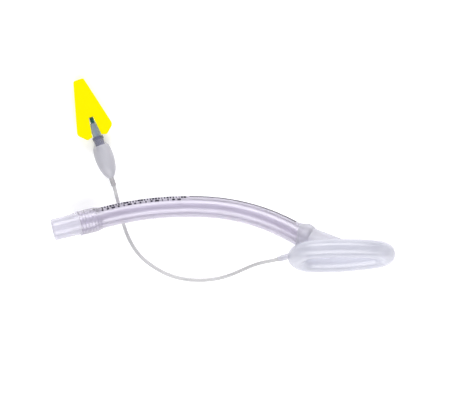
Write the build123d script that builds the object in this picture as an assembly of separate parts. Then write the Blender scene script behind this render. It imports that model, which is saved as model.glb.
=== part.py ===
from build123d import *

import os
from math import asin, cos, degrees, hypot, pi, radians, sin, sqrt, tan

# A single-use laryngeal mask airway, lying on its side as it comes to rest, in millimetres.
# Device frame: X distal along the cuff, Y dorsal, Z to the side, origin at the cuff's centre.
# Rest frame: Z up, origin at the middle of the airway's footprint on the surface it lies on.

# Cuff: a hollow ring whose centreline is an egg of four tangent arcs
CUFF_LENGTH = 76.0
CUFF_TUBE_RADIUS = 6.5
CUFF_WALL = 0.7
CUFF_NEAR_RADIUS = 13.5
CUFF_FAR_RADIUS = 9.5
CUFF_SIDE_RADIUS = 100.0

# Airway tube, from its seat in the mask back to the connector
TUBE_OUTER = 15.0
TUBE_INNER = 10.0
SOCKET_ANGLE = 33.0
SOCKET_BACK = -32.7
TUBE_OVER_CUFF = 11.1
SOCKET_MOUTH = (SOCKET_BACK, TUBE_OUTER / 2 + TUBE_OVER_CUFF)
SEAT_DEPTH = 10.0
BEND_RADIUS, BEND_ANGLE = 134.0, 27.7
ARCH_RADIUS, ARCH_ANGLE = 222.0, 18.7
STRAIGHT_RUN = 19.5
FLARE_LENGTH = 10.0
FLARE_TAPER = 7.5
FLARE_EASE = 0.4

# 15 mm connector: a 1:40 cone, a collar and a spigot that the tube is stretched over
CONE_MOUTH_OUTER = 15.0
CONE_LENGTH = 16.0
CONE_TAPER = 1 / 40
CONE_BORE = 12.0
CONE_BORE_DEPTH = 13.5
CONE_EDGE_OUTSIDE = 0.8
CONE_EDGE_INSIDE = 0.4
COLLAR_OUTER = 16.3
COLLAR_LENGTH = 3.6
COLLAR_GROOVE_WIDTH = 0.9
COLLAR_GROOVE_DEPTH = 0.5
SPIGOT_OUTER = 13.1
SPIGOT_BORE = 9.2
SPIGOT_LEAD = 5.2
LUG_WIDTH, LUG_LENGTH, LUG_HEIGHT = 1.8, 1.4, 0.9

# Mask backplate
SOCKET_LIP = 0.3
SOCKET_WALL = 2.1
SOCKET_SWELL = 2.9
SWELL_START, SWELL_CREST, SWELL_END = 0.4, 7.4, 12.0
SOCKET_TRIM_ANGLE = 13.0
RIM_INSET = 2.2
RIM_TOP = 7.4
RIM_BOTTOM = 3.4
PLATE_THICKNESS = 2.0
BOWL_INSET = 7.4
FUNNEL_CENTRE = -9.0
FUNNEL_HALF_LENGTH = 21.5
FUNNEL_HALF_WIDTH = 10.4
FUNNEL_WALL = 2.2
BAR_WIDTH, BAR_HEIGHT, BAR_OFFSET = 1.5, 1.8, 2.9

# Inflation port on the near end of the cuff
PORT_OUTER = 4.2
PORT_TIP_OUTER = 3.5
PORT_LENGTH = 7.8
PORT_TIP_LENGTH = 2.4
PORT_STEP = 0.3
PORT_INSIDE = 1.6
PORT_ANGLE = 14.5
PORT_RISE = 2.0
LINE_SEAT = 4.0
AIR_HOLE = 1.4

# Inflation line, which leaves its port and the balloon's tail in their own directions
LINE_OUTER = 2.4
LINE_LEAD = 3.0
TAIL_LEAD = 1.0
ARC_SHARE = 0.45

# Pilot balloon, measured along its axis from the end of its tail
BALLOON_LENGTH = 26.3
BALLOON_RADIUS = 6.75
BALLOON_BELLY = 15.8
BALLOON_WALL = 0.4
TAIL_END_PULL = (2.2, 2.6)
TAIL_SIDE_PULL = 8.0
NECK_SIDE_PULL = 5.6
NECK_END_PULL = (1.6, 2.0)
TAIL_LENGTH = 6.0
TAIL_OUTER = 3.5
NECK_LENGTH = 2.7
PILOT_TAIL = (-79.1, 39.9)
PILOT_TILT = 18.7

# Valve in the balloon's neck
BODY_OUTER = 6.9
BODY_DEPTH = 8.5
BODY_FLOOR = 1.0
BODY_BORE = 4.9
SHOULDER_OUTER = 8.2
SHOULDER_LENGTH = 2.0
SHOULDER_EDGE = 0.4
SOCKET_OUTER = 6.3
SOCKET_PLUG = 5.4
SOCKET_PLUG_LENGTH = 3.5
SOCKET_LENGTH = 18.4
LUER_MOUTH = 4.27
LUER_TAPER = 0.06
LUER_DEPTH = 9.5
GUIDE_BORE = 3.0
EAR_SPAN, EAR_WIDTH, EAR_LENGTH = 7.8, 3.0, 1.2
EAR_ROOT = 0.3
STEM_WIDTH, STEM_RIB = 2.7, 0.8
HEAD_OUTER = 2.8
HEAD_LENGTH = 4.0
HEAD_EDGE = 0.3
HEAD_BELOW_MOUTH = 4.0
DISC_OUTER, DISC_THICKNESS = 4.4, 0.9
SEAL_THICKNESS = 0.8
PILOT_STUB = 2.2
PILOT_STUB_LENGTH = 1.3
PILOT_STUB_EDGE = 0.3
SPRING_MEAN, SPRING_WIRE, SPRING_TURNS = 3.5, 0.3, 4.5
PLUNGER_TRAVEL = 1.8

# Keep-open tag: a flat plate over the valve, with a peg in the valve's mouth
TAG_THICKNESS = 1.2
TAG_GAP = 0.35
TAG_BEYOND_NOTCH = 28.2
TAG_LEG_LENGTH = 15.2
TAG_SHOULDER = 9.6
TAG_TOP_WIDTH = 7.6
TAG_BASE_WIDTH = 26.6
TAG_LEG_BOTTOM_WIDTH = 14.4
TAG_TOP_ROUND = 1.6
TAG_WING_ROUND = 3.4
TAG_FOOT_ROUND = 1.5
TAG_EDGE = 0.25
NOTCH_TOP_WIDTH = 3.0
NOTCH_BASE_WIDTH = 6.8
NOTCH_BEVEL = 1.1
PEG_OUTER = 3.7
PEG_CLEARANCE = 0.35
PEG_ROOT = 3.4
PEG_EDGE = 0.3
PEG_STEP = 0.6
PEG_ENGAGEMENT = 1.0

# Fit of bonded and pushed-in pieces
BOND = 0.05

# How it lies: rolled towards its arch, so that the tube's arch and the side of the cuff touch
REST_ROLL = 22.0
REST_YAW = 1.6
PITCH_SEARCH, PITCH_STEPS = 15.0, 40


def turned(*corners):
    """A solid turned about X from the (station, radius) corners of its half section."""
    return revolve(make_face(Polyline(*corners, close=True)), Axis.X)


def along(origin, angle):
    """A plane in the device frame whose X points at the angle in the sagittal plane."""
    return Plane(origin=(*origin, 0), x_dir=(cos(radians(angle)), sin(radians(angle)), 0), z_dir=(0, 0, 1))


def level(height):
    """A plane across the device at a dorsal height, with X distal and Y to the side."""
    return Plane(origin=(0, height, 0), x_dir=(1, 0, 0), z_dir=(0, -1, 0))


def cuff_arcs():
    """The centres of the egg's near, far and side arcs, as (near x, far x, side x, side y)."""
    half = CUFF_LENGTH / 2 - CUFF_TUBE_RADIUS
    near, far = CUFF_NEAR_RADIUS - half, half - CUFF_FAR_RADIUS
    drop = CUFF_FAR_RADIUS - CUFF_NEAR_RADIUS
    spread = 2 * CUFF_SIDE_RADIUS - CUFF_NEAR_RADIUS - CUFF_FAR_RADIUS
    side_x = (near + far) / 2 + drop * spread / (2 * (far - near))
    side_y = sqrt((CUFF_SIDE_RADIUS - CUFF_NEAR_RADIUS) ** 2 - (side_x - near) ** 2)
    return near, far, side_x, side_y


def cuff_outline(inset=0.0):
    """The egg as a closed wire in X and Y, moved inwards by the inset."""
    near, far, side_x, side_y = cuff_arcs()
    near_r, far_r = CUFF_NEAR_RADIUS - inset, CUFF_FAR_RADIUS - inset
    side_r = CUFF_SIDE_RADIUS - inset

    def join(centre):
        run = hypot(centre - side_x, side_y)
        return side_x + side_r * (centre - side_x) / run, side_y * (side_r / run - 1)

    (near_x, near_y), (far_x, far_y) = join(near), join(far)
    crown = (side_x, side_r - side_y)
    return Wire(
        [
            ThreePointArc((near_x, -near_y), (near - near_r, 0), (near_x, near_y)),
            ThreePointArc((near_x, near_y), crown, (far_x, far_y)),
            ThreePointArc((far_x, far_y), (far + far_r, 0), (far_x, -far_y)),
            ThreePointArc((far_x, -far_y), (crown[0], -crown[1]), (near_x, -near_y)),
        ]
    )


def cuff_ring(radius):
    """A solid ring of round section on the cuff's centreline."""
    path = level(0) * cuff_outline()
    return sweep(Plane(origin=path @ 0, z_dir=path % 0) * Circle(radius), path=path)


def port_plane():
    """Where the inflation port leaves the near end of the cuff, X outwards."""
    near_end = CUFF_TUBE_RADIUS - CUFF_LENGTH / 2
    reach = sqrt(CUFF_TUBE_RADIUS**2 - PORT_RISE**2)
    turn = radians(PORT_ANGLE)
    foot = (near_end - reach * cos(turn), PORT_RISE - reach * sin(turn))
    return along(foot, 180 + PORT_ANGLE)


def make_cuff():
    """The hollow ring, with the hole that the port is bonded in."""
    ring = cuff_ring(CUFF_TUBE_RADIUS) - cuff_ring(CUFF_TUBE_RADIUS - CUFF_WALL)
    reach = 2 * PORT_INSIDE
    hole = turned((-reach, 0), (reach, 0), (reach, PORT_OUTER / 2 + BOND), (-reach, PORT_OUTER / 2 + BOND))
    return ring - port_plane().location * hole


def make_port():
    """The stepped sleeve, with a seat for the line and a fine hole into the cuff."""
    tip, step, seat = PORT_LENGTH, PORT_LENGTH - PORT_TIP_LENGTH, PORT_LENGTH - LINE_SEAT
    bore, hole = LINE_OUTER / 2 + BOND, AIR_HOLE / 2
    return port_plane().location * turned(
        (-PORT_INSIDE, hole),
        (-PORT_INSIDE, PORT_OUTER / 2),
        (step, PORT_OUTER / 2),
        (step + PORT_STEP, PORT_TIP_OUTER / 2),
        (tip, PORT_TIP_OUTER / 2),
        (tip, bore),
        (seat, bore),
        (seat, hole),
    )


def tube_path():
    """The tube's centreline from its seat in the mask to where it runs straight again."""
    seat_end = along(SOCKET_MOUTH, -SOCKET_ANGLE).from_local_coords((SEAT_DEPTH, 0, 0))
    seat = Line(seat_end, (*SOCKET_MOUTH, 0))
    bend = JernArc(seat @ 1, seat % 1, BEND_RADIUS, BEND_ANGLE)
    arch = JernArc(bend @ 1, bend % 1, ARCH_RADIUS, ARCH_ANGLE)
    return Wire([seat, bend, arch])


def tube_end_plane():
    """The tube's cut end at the connector, X outwards."""
    path = tube_path()
    heading = path % 1
    origin = path @ 1 + heading * STRAIGHT_RUN
    return Plane(origin=origin, x_dir=heading, z_dir=(0, 0, 1))


def make_tube():
    """The curved tube, stretched over the connector's spigot at its near end."""
    path = tube_path()
    wall = Circle(TUBE_OUTER / 2) - Circle(TUBE_INNER / 2)
    curved = sweep(Plane(origin=path @ 0, z_dir=path % 0) * wall, path=path)

    # stretching keeps the wall's cross-section area
    bore = SPIGOT_OUTER / 2 + BOND
    outer = sqrt(bore**2 + (TUBE_OUTER**2 - TUBE_INNER**2) / 4)
    wide, narrow = -FLARE_LENGTH, -FLARE_LENGTH - FLARE_TAPER
    ease = FLARE_TAPER * FLARE_EASE

    def surface(stretched, relaxed):
        """One edge of the wall's half section, from the stretched radius to the relaxed one."""
        pulls = (wide - ease, stretched), (narrow + ease, relaxed)
        return [
            Line((0, stretched), (wide, stretched)),
            Bezier((wide, stretched), *pulls, (narrow, relaxed)),
            Line((narrow, relaxed), (-STRAIGHT_RUN, relaxed)),
        ]

    ends = [
        Line((0, bore), (0, outer)),
        Line((-STRAIGHT_RUN, TUBE_INNER / 2), (-STRAIGHT_RUN, TUBE_OUTER / 2)),
    ]
    section = surface(outer, TUBE_OUTER / 2) + surface(bore, TUBE_INNER / 2) + ends
    return curved + tube_end_plane().location * revolve(make_face(section), Axis.X)


def make_connector():
    """The 15 mm cone with its collar, two grip lugs and spigot."""
    mouth = COLLAR_LENGTH + CONE_LENGTH
    cone_base = CONE_MOUTH_OUTER / 2 + CONE_LENGTH * CONE_TAPER / 2
    collar = COLLAR_OUTER / 2
    groove = (COLLAR_LENGTH - COLLAR_GROOVE_WIDTH) / 2
    floor = collar - COLLAR_GROOVE_DEPTH
    spigot = SPIGOT_OUTER / 2
    lead = -FLARE_LENGTH - SPIGOT_LEAD
    tip = (SPIGOT_BORE + TUBE_INNER) / 4 + BOND
    bore_floor = mouth - CONE_BORE_DEPTH
    body = turned(
        (lead, SPIGOT_BORE / 2),
        (lead, tip),
        (-FLARE_LENGTH, spigot),
        (0, spigot),
        (0, collar),
        (groove, collar),
        (groove, floor),
        (groove + COLLAR_GROOVE_WIDTH, floor),
        (groove + COLLAR_GROOVE_WIDTH, collar),
        (COLLAR_LENGTH, collar),
        (COLLAR_LENGTH, cone_base),
        (mouth - CONE_EDGE_OUTSIDE, CONE_MOUTH_OUTER / 2),
        (mouth - CONE_EDGE_OUTSIDE * 0.3, CONE_MOUTH_OUTER / 2 - CONE_EDGE_OUTSIDE * 0.3),
        (mouth, CONE_MOUTH_OUTER / 2 - CONE_EDGE_OUTSIDE),
        (mouth, CONE_BORE / 2 + CONE_EDGE_INSIDE),
        (mouth - CONE_EDGE_INSIDE, CONE_BORE / 2),
        (bore_floor, CONE_BORE / 2),
        (bore_floor - (CONE_BORE - SPIGOT_BORE) / 2, SPIGOT_BORE / 2),
    )
    lug = Pos(LUG_LENGTH / 2, 0, 0) * Box(LUG_LENGTH, 2 * (collar + LUG_HEIGHT), LUG_WIDTH)
    core = Pos(LUG_LENGTH / 2, 0, 0) * Rotation(0, 90, 0) * Cylinder(floor, 2 * LUG_LENGTH)
    return tube_end_plane().location * (body + (lug - core))


def funnel(mouth_radius, shift, foot_height, half_length, half_width):
    """A solid ruled from a circle square to the tube down to a level oval."""
    axis = along(SOCKET_MOUTH, -SOCKET_ANGLE)
    mouth = Plane(origin=axis.from_local_coords((shift, 0, 0)), x_dir=axis.y_dir, z_dir=axis.x_dir)
    foot = level(foot_height) * Pos(FUNNEL_CENTRE, 0, 0)
    circle, oval = [], []
    for start in (0, 180):
        circle.append((mouth * CenterArc((0, 0), mouth_radius, start, 180)).edge())
        half = EllipticalCenterArc((0, 0), half_length, half_width, start_angle=start, arc_size=180)
        oval.append((foot * half).edge())
    sides = [Face.make_surface_from_curves(top, bottom) for top, bottom in zip(circle, oval)]
    return Solid(Shell([*sides, Face(Wire(circle)), Face(Wire(oval))]))


def slab(inset, bottom, top):
    """A flat egg-shaped block between two dorsal heights."""
    return extrude(level(bottom) * make_face(cuff_outline(inset)), top - bottom, dir=(0, 1, 0))


def make_backplate():
    """Socket, funnel, bowl plate and aperture bars in one moulding."""
    foot_height = RIM_TOP - PLATE_THICKNESS / 2
    bore = TUBE_OUTER / 2 + BOND
    lip, wall, swell = bore + SOCKET_LIP, bore + SOCKET_WALL, bore + SOCKET_SWELL
    size = 8 * wall
    shell = slab(RIM_INSET, RIM_BOTTOM, RIM_TOP)
    shell += funnel(lip - BOND, SWELL_START, foot_height, FUNNEL_HALF_LENGTH, FUNNEL_HALF_WIDTH)

    # the socket thickens from a thin lip to a soft crest, and falls back to the funnel
    axis = along(SOCKET_MOUTH, -SOCKET_ANGLE)
    crest = Spline(
        (SWELL_START, lip), (SWELL_CREST, swell), (SWELL_END, wall), tangents=[(1, 0.1), (1, -0.4)]
    )
    lead = -TUBE_OUTER
    collar = [
        Line((lead, 0), (lead, lip)),
        Line((lead, lip), (SWELL_START, lip)),
        crest,
        Line((SWELL_END, wall), (SWELL_END, 0)),
        Line((SWELL_END, 0), (lead, 0)),
    ]
    shell += axis.location * revolve(make_face(collar), Axis.X)

    # the mouth is cut more steeply than square to the tube, from its dorsal edge
    edge = axis.from_local_coords((0, lip, 0))
    trim = along((edge.X, edge.Y), -SOCKET_TRIM_ANGLE).location * Pos(-size / 2, 0, 0) * Box(size, size, size)

    # the bars cross the opening and end in the plate all round
    under = RIM_TOP - PLATE_THICKNESS
    bar = Pos(FUNNEL_CENTRE, under, 0) * Box(3 * FUNNEL_HALF_LENGTH, BAR_HEIGHT, BAR_WIDTH)
    bars = (Pos(0, 0, BAR_OFFSET) * bar + Pos(0, 0, -BAR_OFFSET) * bar) & shell

    seat = axis.location * turned((-size, 0), (SEAT_DEPTH, 0), (SEAT_DEPTH, bore), (-size, bore))
    throat = funnel(
        TUBE_INNER / 2, SEAT_DEPTH, under, FUNNEL_HALF_LENGTH - FUNNEL_WALL, FUNNEL_HALF_WIDTH - FUNNEL_WALL
    )
    bowl = slab(BOWL_INSET, RIM_BOTTOM - 1, under)
    hollow = shell - trim - seat - throat - bowl
    return hollow + bars - seat - cuff_ring(CUFF_TUBE_RADIUS + BOND)


# Pilot balloon and valve, in a frame with X along their axis from the balloon's tail to the tag
NECK = BALLOON_LENGTH + NECK_LENGTH
SHOULDER_TOP = NECK + SHOULDER_LENGTH
BODY_BOTTOM = NECK - BODY_DEPTH
VALVE_SEAT = SHOULDER_TOP - SOCKET_PLUG_LENGTH
LUER_END = SHOULDER_TOP + SOCKET_LENGTH
HEAD_TOP = LUER_END - HEAD_BELOW_MOUTH
SEAL_TOP = VALVE_SEAT - BOND
DISC_TOP = SEAL_TOP - SEAL_THICKNESS
DISC_BOTTOM = DISC_TOP - DISC_THICKNESS
SPRING_FLOOR = BODY_BOTTOM + BODY_FLOOR


def make_balloon():
    """The blown balloon, with a tail for the line and a neck for the valve."""
    tail, neck = TAIL_OUTER / 2, BODY_OUTER / 2 + BOND + BALLOON_WALL

    def profile(shrink, ends):
        """The half section's upper edge from the tail to the neck, and its closing edges."""
        tail_r, neck_r, belly_r = ends[0], ends[1], BALLOON_RADIUS - shrink
        start, stop = shrink, BALLOON_LENGTH - shrink
        crown = (BALLOON_BELLY, belly_r)
        tail_pull = (start + TAIL_END_PULL[0], tail_r + TAIL_END_PULL[1])
        neck_pull = (stop - NECK_END_PULL[0], neck_r + NECK_END_PULL[1])
        return [
            Line((-TAIL_LENGTH, 0), (-TAIL_LENGTH, tail_r)),
            Line((-TAIL_LENGTH, tail_r), (start, tail_r)),
            Bezier((start, tail_r), tail_pull, (BALLOON_BELLY - TAIL_SIDE_PULL, belly_r), crown),
            Bezier(crown, (BALLOON_BELLY + NECK_SIDE_PULL, belly_r), neck_pull, (stop, neck_r)),
            Line((stop, neck_r), (NECK, neck_r)),
            Line((NECK, neck_r), (NECK, 0)),
            Line((NECK, 0), (-TAIL_LENGTH, 0)),
        ]

    outer = revolve(make_face(profile(0, (tail, neck))), Axis.X)
    inner = revolve(make_face(profile(BALLOON_WALL, (LINE_OUTER / 2 + BOND, BODY_OUTER / 2 + BOND))), Axis.X)
    return outer - inner


def make_valve_body():
    """The shouldered housing, bonded in the neck, with an air hole in its floor."""
    hole, bore, plug = AIR_HOLE / 2, BODY_BORE / 2, SOCKET_PLUG / 2 + BOND
    return turned(
        (BODY_BOTTOM, hole),
        (BODY_BOTTOM, BODY_OUTER / 2),
        (NECK, BODY_OUTER / 2),
        (NECK, SHOULDER_OUTER / 2),
        (SHOULDER_TOP - SHOULDER_EDGE, SHOULDER_OUTER / 2),
        (SHOULDER_TOP, SHOULDER_OUTER / 2 - SHOULDER_EDGE),
        (SHOULDER_TOP, plug),
        (VALVE_SEAT, plug),
        (VALVE_SEAT, bore),
        (SPRING_FLOOR, bore),
        (SPRING_FLOOR, hole),
    )


def make_luer_socket():
    """The clear socket, with its luer taper, guide bore, seat face and two lock ears."""
    mouth = LUER_MOUTH / 2
    deep = LUER_END - LUER_DEPTH
    body = turned(
        (VALVE_SEAT, GUIDE_BORE / 2),
        (VALVE_SEAT, SOCKET_PLUG / 2),
        (SHOULDER_TOP, SOCKET_PLUG / 2),
        (SHOULDER_TOP, SOCKET_OUTER / 2),
        (LUER_END, SOCKET_OUTER / 2),
        (LUER_END, mouth),
        (deep, mouth - LUER_DEPTH * LUER_TAPER / 2),
        (deep, GUIDE_BORE / 2),
    )
    ears = Pos(LUER_END - EAR_LENGTH / 2, 0, 0) * Box(EAR_LENGTH, EAR_SPAN, EAR_WIDTH)
    root = SOCKET_OUTER / 2 - EAR_ROOT
    core = turned((deep, 0), (deep, root), (LUER_END, root), (LUER_END, 0))
    return body + (ears - core)


def make_plunger():
    """Head, cross-shaped stem that lets air past, disc and spring stub in one moulding."""
    stem_end = HEAD_TOP - HEAD_LENGTH
    stem_length = stem_end - DISC_TOP
    middle = Pos((stem_end + DISC_TOP) / 2, 0, 0)
    stem = middle * (Box(stem_length, STEM_WIDTH, STEM_RIB) + Box(stem_length, STEM_RIB, STEM_WIDTH))
    head = turned(
        (stem_end, 0),
        (stem_end, HEAD_OUTER / 2),
        (HEAD_TOP - HEAD_EDGE, HEAD_OUTER / 2),
        (HEAD_TOP, HEAD_OUTER / 2 - HEAD_EDGE),
        (HEAD_TOP, 0),
    )
    stub_end = DISC_BOTTOM - PILOT_STUB_LENGTH
    disc = turned(
        (stub_end, 0),
        (stub_end, PILOT_STUB / 2 - PILOT_STUB_EDGE),
        (stub_end + PILOT_STUB_EDGE, PILOT_STUB / 2),
        (DISC_BOTTOM, PILOT_STUB / 2),
        (DISC_BOTTOM, DISC_OUTER / 2),
        (DISC_TOP, DISC_OUTER / 2),
        (DISC_TOP, 0),
    )
    return head + stem + disc


def make_seal():
    """The silicone ring that closes on the socket's seat face."""
    inner, outer = STEM_WIDTH / 2 + BOND, DISC_OUTER / 2
    return turned((DISC_TOP + BOND, inner), (DISC_TOP + BOND, outer), (SEAL_TOP, outer), (SEAL_TOP, inner))


def make_spring():
    """A round-wire spring between the body's floor and the disc."""
    wire = SPRING_WIRE / 2
    length = DISC_BOTTOM - SPRING_FLOOR - SPRING_WIRE - 2 * BOND
    coil = Helix(pitch=length / SPRING_TURNS, height=length, radius=SPRING_MEAN / 2)
    section = Plane(origin=coil @ 0, z_dir=coil % 0) * Circle(wire)
    swept = sweep(section, path=coil, is_frenet=True)
    return Pos(SPRING_FLOOR + wire + BOND, 0, 0) * Rotation(0, 90, 0) * swept


def make_tag():
    """The notched plate over the valve, with the root and peg that hold it in the mouth."""
    notch = HEAD_TOP
    top, bottom = notch + TAG_BEYOND_NOTCH, notch - TAG_LEG_LENGTH
    widest = notch - TAG_SHOULDER
    half = [
        (notch, NOTCH_TOP_WIDTH / 2),
        (bottom + NOTCH_BEVEL, NOTCH_BASE_WIDTH / 2),
        (bottom, TAG_LEG_BOTTOM_WIDTH / 2),
        (widest, TAG_BASE_WIDTH / 2),
        (top, TAG_TOP_WIDTH / 2),
    ]
    outline = make_face(Polyline(*half, *[(x, -y) for x, y in reversed(half)], close=True))
    corners = (top, TAG_TOP_WIDTH, TAG_TOP_ROUND), (widest, TAG_BASE_WIDTH, TAG_WING_ROUND)
    for station, width, rounding in (*corners, (bottom, TAG_LEG_BOTTOM_WIDTH, TAG_FOOT_ROUND)):
        spots = [Vector(station, side * width / 2) for side in (-1, 1)]
        found = [v for v in outline.vertices() if min((Vector(*v) - spot).length for spot in spots) < BOND]
        outline = fillet(found, rounding)
    underside = SOCKET_OUTER / 2 + TAG_GAP
    plate = extrude(outline, TAG_THICKNESS)
    flats = plate.faces().sort_by(Axis.Z)
    plate = fillet([*flats[0].edges(), *flats[-1].edges()], TAG_EDGE)

    # the root hangs from the plate beyond the mouth, and the peg runs from it into the mouth
    peg_end = HEAD_TOP + PEG_CLEARANCE
    root_start = LUER_END + PEG_STEP
    peg = PEG_OUTER / 2
    root_height = underside + TAG_THICKNESS / 2 + peg
    root = Pos(root_start + PEG_ROOT / 2, 0, root_height / 2 - peg) * Box(PEG_ROOT, PEG_OUTER, root_height)
    seat = root_start + PEG_ENGAGEMENT
    pegged = turned(
        (peg_end, 0), (peg_end, peg - PEG_EDGE), (peg_end + PEG_EDGE, peg), (seat, peg), (seat, 0)
    )
    return Pos(0, 0, underside) * plate + root + pegged


# Rest: the roll is given, and the pitch makes the tube's arch and the cuff's side touch one floor
def rest_pitch():
    """The pitch in degrees, positive when the connector is raised."""
    near, far, side_x, side_y = cuff_arcs()
    end = tube_path() @ 1
    arch = along((end.X, end.Y), 90 - SOCKET_ANGLE + BEND_ANGLE + ARCH_ANGLE)
    centre = arch.from_local_coords((-ARCH_RADIUS, 0, 0))
    roll = radians(REST_ROLL)

    def tube_over_cuff(pitch):
        """How much higher the tube's lowest point is than the cuff's."""
        slope, fall = sin(pitch), sin(roll) * cos(pitch)
        tube = -centre.X * slope - centre.Y * fall - ARCH_RADIUS * hypot(slope, fall) - TUBE_OUTER / 2
        across = cos(roll) * cos(pitch)
        cuff = side_y * across - side_x * slope - CUFF_SIDE_RADIUS * hypot(slope, across) - CUFF_TUBE_RADIUS
        return tube - cuff

    low, high = radians(-PITCH_SEARCH), radians(PITCH_SEARCH)
    for _ in range(PITCH_STEPS):
        middle = (low + high) / 2
        if tube_over_cuff(middle) < 0:
            low = middle
        else:
            high = middle
    return degrees(middle)


def make_line(start, first, last, end):
    """The line along its hand-chosen route, with the widest arcs that its runs allow."""
    route = [start, first, *LINE_ROUTE, last, end]
    radii = []
    for before, here, after in zip(route, route[1:], route[2:]):
        into, away = Vector(here) - Vector(before), Vector(after) - Vector(here)
        radii.append(ARC_SHARE * min(into.length, away.length) / tan(radians(into.get_angle(away) / 2)))
    path = FilletPolyline(*route, radius=radii)
    tube = sweep(Plane(origin=path @ 0, z_dir=path % 0) * Circle(LINE_OUTER / 2), path=path)
    expected = pi * LINE_OUTER**2 / 4 * path.length
    print(f"inflation line: {path.length:.1f} mm, radii {min(radii):.1f} to {max(radii):.1f} mm")
    print(f"inflation line: volume {tube.volume:.1f} mm3, section by length {expected:.1f} mm3")
    return tube


# The route on the floor, from the port to the balloon's tail, in the rest frame
FLOOR_Z = LINE_OUTER / 2 + BOND
LINE_ROUTE = [
    (26.6, -20.2, 18.6),
    (19.9, -22.6, 13.6),
    (12.6, -26.0, 8.0),
    (5.2, -29.3, 3.6),
    (-2.6, -31.6, 1.65),
    (-10.8, -32.7, FLOOR_Z),
    (-19.3, -33.0, FLOOR_Z),
    (-27.8, -32.2, FLOOR_Z),
    (-36.2, -30.0, FLOOR_Z),
    (-44.0, -26.6, FLOOR_Z),
    (-51.0, -22.2, FLOOR_Z),
    (-57.1, -17.4, FLOOR_Z),
    (-61.9, -11.9, FLOOR_Z),
    (-65.7, -5.7, FLOOR_Z),
    (-68.7, 0.9, FLOOR_Z),
    (-71.0, 8.2, FLOOR_Z),
    (-72.7, 14.8, FLOOR_Z),
    (-73.7, 19.9, 2.6),
    (-74.8, 24.3, 5.7),
    (-75.8, 28.5, 8.1),
]

device_parts = {
    "connector_15mm": make_connector(),
    "airway_tube": make_tube(),
    "mask_backplate": make_backplate(),
    "cuff": make_cuff(),
    "cuff_inflation_port": make_port(),
}
pilot_parts = {
    "pilot_balloon": make_balloon(),
    "valve_body": make_valve_body(),
    "valve_luer_socket": make_luer_socket(),
    "valve_plunger": make_plunger(),
    "valve_seal": make_seal(),
    "valve_spring": make_spring(),
    "keep_open_tag": make_tag(),
}

turn = Rotation(0, 0, REST_YAW) * Rotation(0, rest_pitch(), 0) * Rotation(-REST_ROLL, 0, 0)
lying = Compound([turn * part for part in device_parts.values()]).bounding_box()
at_rest = Pos(-lying.center().X, -lying.center().Y, -lying.min.Z) * turn

belly_to_rim = LUER_END - BALLOON_BELLY
fall = degrees(asin((BALLOON_RADIUS - SOCKET_OUTER / 2) / belly_to_rim))
swing = Rotation(0, 0, 90 + PILOT_TILT) * Rotation(0, fall, 0)
lowest = (swing * pilot_parts["pilot_balloon"]).bounding_box().min.Z
pilot_at_rest = Pos(*PILOT_TAIL, -lowest) * swing

port = at_rest * port_plane().location
line = make_line(
    (port * Pos(PORT_LENGTH - LINE_SEAT + BOND, 0, 0)).position,
    (port * Pos(PORT_LENGTH + LINE_LEAD, 0, 0)).position,
    (pilot_at_rest * Pos(-TAIL_LENGTH - TAIL_LEAD, 0, 0)).position,
    (pilot_at_rest * Pos(LINE_SEAT - TAIL_LENGTH, 0, 0)).position,
)

nodes = {name: at_rest * part for name, part in device_parts.items()}
nodes |= {name: pilot_at_rest * part for name, part in pilot_parts.items()}
nodes["inflation_line"] = line
os.makedirs("parts", exist_ok=True)
for name, solid in nodes.items():
    export_step(solid, f"parts/{name}.step")
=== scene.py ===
import logging
from dataclasses import dataclass
from enum import Enum
from math import atan2, cos, exp, pi, radians, sin, sqrt

import bmesh
import bpy
from bpy.types import Material, Mesh, NodeSocket, NodeTree, Object, bpy_prop_collection
from mathutils import Matrix, Vector


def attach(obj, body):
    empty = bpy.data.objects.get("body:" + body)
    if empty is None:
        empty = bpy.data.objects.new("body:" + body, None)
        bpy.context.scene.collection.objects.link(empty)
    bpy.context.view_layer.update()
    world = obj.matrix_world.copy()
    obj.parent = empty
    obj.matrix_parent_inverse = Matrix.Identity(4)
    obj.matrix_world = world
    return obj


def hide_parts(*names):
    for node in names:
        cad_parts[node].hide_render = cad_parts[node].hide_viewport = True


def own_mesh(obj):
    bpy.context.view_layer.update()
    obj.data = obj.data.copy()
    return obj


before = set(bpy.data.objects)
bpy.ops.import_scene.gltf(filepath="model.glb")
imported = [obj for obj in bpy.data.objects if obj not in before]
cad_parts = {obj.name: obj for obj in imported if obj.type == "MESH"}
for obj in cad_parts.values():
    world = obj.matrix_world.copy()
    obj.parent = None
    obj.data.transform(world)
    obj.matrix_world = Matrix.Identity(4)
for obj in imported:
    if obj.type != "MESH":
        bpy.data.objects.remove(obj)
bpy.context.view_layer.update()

LOG = logging.getLogger("airway")
MM = 0.001
BODY = "airway"

# The mask's own frame as it lies at rest, X distal, Y dorsal and Z to the side: its origin, which is the
# cuff's middle, in millimetres, and its turns in degrees
MASK_CENTRE = (83.947, -14.948, 19.522)
MASK_YAW, MASK_PITCH, MASK_ROLL = 1.6, 1.736, -22.0
MASK_PLACE = (
    Matrix.Translation(Vector(MASK_CENTRE) * MM)
    @ Matrix.Rotation(radians(MASK_YAW), 4, "Z")
    @ Matrix.Rotation(radians(MASK_PITCH), 4, "Y")
    @ Matrix.Rotation(radians(MASK_ROLL), 4, "X")
)

# The pilot balloon's frame, X from the end of its tail to its valve
PILOT_TAIL = (-79.1, 39.9, 8.648)
PILOT_YAW, PILOT_PITCH = 90 + 18.7, 6.151
PILOT_PLACE = (
    Matrix.Translation(Vector(PILOT_TAIL) * MM)
    @ Matrix.Rotation(radians(PILOT_YAW), 4, "Z")
    @ Matrix.Rotation(radians(PILOT_PITCH), 4, "Y")
)

# Points this close are welded into one, in metres
WELD = 1e-7

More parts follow.
